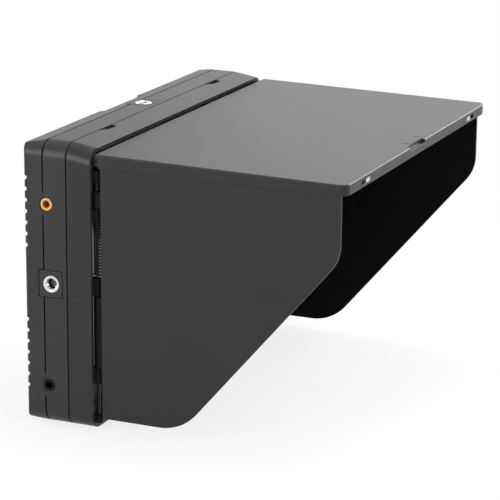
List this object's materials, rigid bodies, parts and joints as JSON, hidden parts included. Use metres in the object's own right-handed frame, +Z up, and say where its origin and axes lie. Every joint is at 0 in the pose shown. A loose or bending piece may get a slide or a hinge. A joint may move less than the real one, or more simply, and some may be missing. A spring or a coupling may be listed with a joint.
{
  "type": "camera field monitor with sun hood",
  "caption": "Flat camera monitor in a two-part housing with a detachable folding sun hood, front keys, side jacks, tripod threads and a rear battery plate.",
  "frame": {"origin": "mouth of the bottom tripod thread, on the plane the monitor stands on", "axes": "+Z up, -Y the way the screen and the hood face, +X to the right of someone facing the screen"},
  "size_m": [0.2152, 0.176, 0.15],
  "materials": {
    "shell_plastic": "fine matt grain",
    "hood_plastic": "fine matt grain",
    "trim_plastic": "satin",
    "button_plastic": "satin",
    "socket_plastic": "semi-gloss",
    "orange_plastic": "semi-gloss",
    "screen_glass": "polished",
    "display_black": "polished",
    "tray_metal": "bright",
    "guide_plastic": "clear white",
    "board_laminate": "solder mask",
    "steel": "bright",
    "plated_metal": "plated",
    "contact_metal": "gold plated",
    "pin_steel": "bright"
  },
  "bodies": {
    "monitor": {"front_shell": "shell_plastic", "rear_shell": "shell_plastic", "screen_glass": "screen_glass", "display_cell": "display_black", "backlight_tray": "tray_metal", "light_guide": "guide_plastic", "main_board": "board_laminate", "key_board": "board_laminate", "trim_plate_left": "trim_plastic", "trim_plate_right": "trim_plastic", "trim_plate_top": "trim_plastic", "trim_plate_bottom": "trim_plastic", "thread_insert_left": "plated_metal", "thread_insert_right": "plated_metal", "thread_insert_top": "plated_metal", "thread_insert_bottom": "plated_metal", "av_jack": "socket_plastic", "av_jack_ring": "orange_plastic", "headphone_jack": "socket_plastic", "video_in_socket": "plated_metal", "video_out_socket": "plated_metal", "power_socket": "socket_plastic", "battery_plate": "trim_plastic", "battery_contacts": "contact_metal", "catch_spring": "pin_steel", "shell_screws": "steel", "board_screws": "steel", "plate_screws": "steel"},
    "hood": {"hood_frame": "hood_plastic", "lid_pins": "pin_steel", "left_hinge_pin": "pin_steel", "right_hinge_pin": "pin_steel", "left_hinge_spring": "pin_steel", "right_hinge_spring": "pin_steel"},
    "lid": {"hood_lid": "hood_plastic", "catch_inserts": "steel"},
    "left_panel": {"left_panel": "hood_plastic"},
    "right_panel": {"right_panel": "hood_plastic"},
    "battery_catch": {"battery_catch": "trim_plastic"},
    "power_button": {"power_button": "button_plastic"},
    "input_button": {"input_button": "button_plastic"},
    "menu_button": {"menu_button": "button_plastic"},
    "left_button": {"left_button": "button_plastic"},
    "right_button": {"right_button": "button_plastic"},
    "zoom_button": {"zoom_button": "button_plastic"},
    "peak_button": {"peak_button": "button_plastic"}
  },
  "joints": [
    {"name": "hood_pull", "type": "slide", "parent": "monitor", "child": "hood", "axis": [0, -1, 0], "range_m": [0, 0.025]},
    {"name": "lid_hinge", "type": "hinge", "parent": "hood", "child": "lid", "pos_m": [0, -0.02535, 0.14175], "axis": [1, 0, 0], "range_deg": [-3, 0]},
    {"name": "left_panel_hinge", "type": "hinge", "parent": "hood", "child": "left_panel", "pos_m": [-0.1021, -0.0239, 0.075], "axis": [0, 0, 1], "range_deg": [0, 90], "stiffness_Nm_per_rad": 0.012, "springref_deg": -34.38, "deforming": ["left_hinge_spring"]},
    {"name": "right_panel_hinge", "type": "hinge", "parent": "hood", "child": "right_panel", "pos_m": [0.1021, -0.0218, 0.075], "axis": [0, 0, -1], "range_deg": [0, 90], "stiffness_Nm_per_rad": 0.012, "springref_deg": -34.38, "deforming": ["right_hinge_spring"]},
    {"name": "battery_catch_push", "type": "slide", "parent": "monitor", "child": "battery_catch", "axis": [0, -1, 0], "range_m": [0, 0.001], "stiffness_N_per_m": 1200, "springref_m": -0.001, "deforming": ["catch_spring"]},
    {"name": "power_button_press", "type": "slide", "parent": "monitor", "child": "power_button", "axis": [0, 1, 0], "range_m": [0, 0.0006], "stiffness_N_per_m": 1500, "springref_m": -0.0005},
    {"name": "input_button_press", "type": "slide", "parent": "monitor", "child": "input_button", "axis": [0, 1, 0], "range_m": [0, 0.0006], "stiffness_N_per_m": 1500, "springref_m": -0.0005},
    {"name": "menu_button_press", "type": "slide", "parent": "monitor", "child": "menu_button", "axis": [0, 1, 0], "range_m": [0, 0.0006], "stiffness_N_per_m": 1500, "springref_m": -0.0005},
    {"name": "left_button_press", "type": "slide", "parent": "monitor", "child": "left_button", "axis": [0, 1, 0], "range_m": [0, 0.0006], "stiffness_N_per_m": 1500, "springref_m": -0.0005},
    {"name": "right_button_press", "type": "slide", "parent": "monitor", "child": "right_button", "axis": [0, 1, 0], "range_m": [0, 0.0006], "stiffness_N_per_m": 1500, "springref_m": -0.0005},
    {"name": "zoom_button_press", "type": "slide", "parent": "monitor", "child": "zoom_button", "axis": [0, 1, 0], "range_m": [0, 0.0006], "stiffness_N_per_m": 1500, "springref_m": -0.0005},
    {"name": "peak_button_press", "type": "slide", "parent": "monitor", "child": "peak_button", "axis": [0, 1, 0], "range_m": [0, 0.0006], "stiffness_N_per_m": 1500, "springref_m": -0.0005}
  ]
}
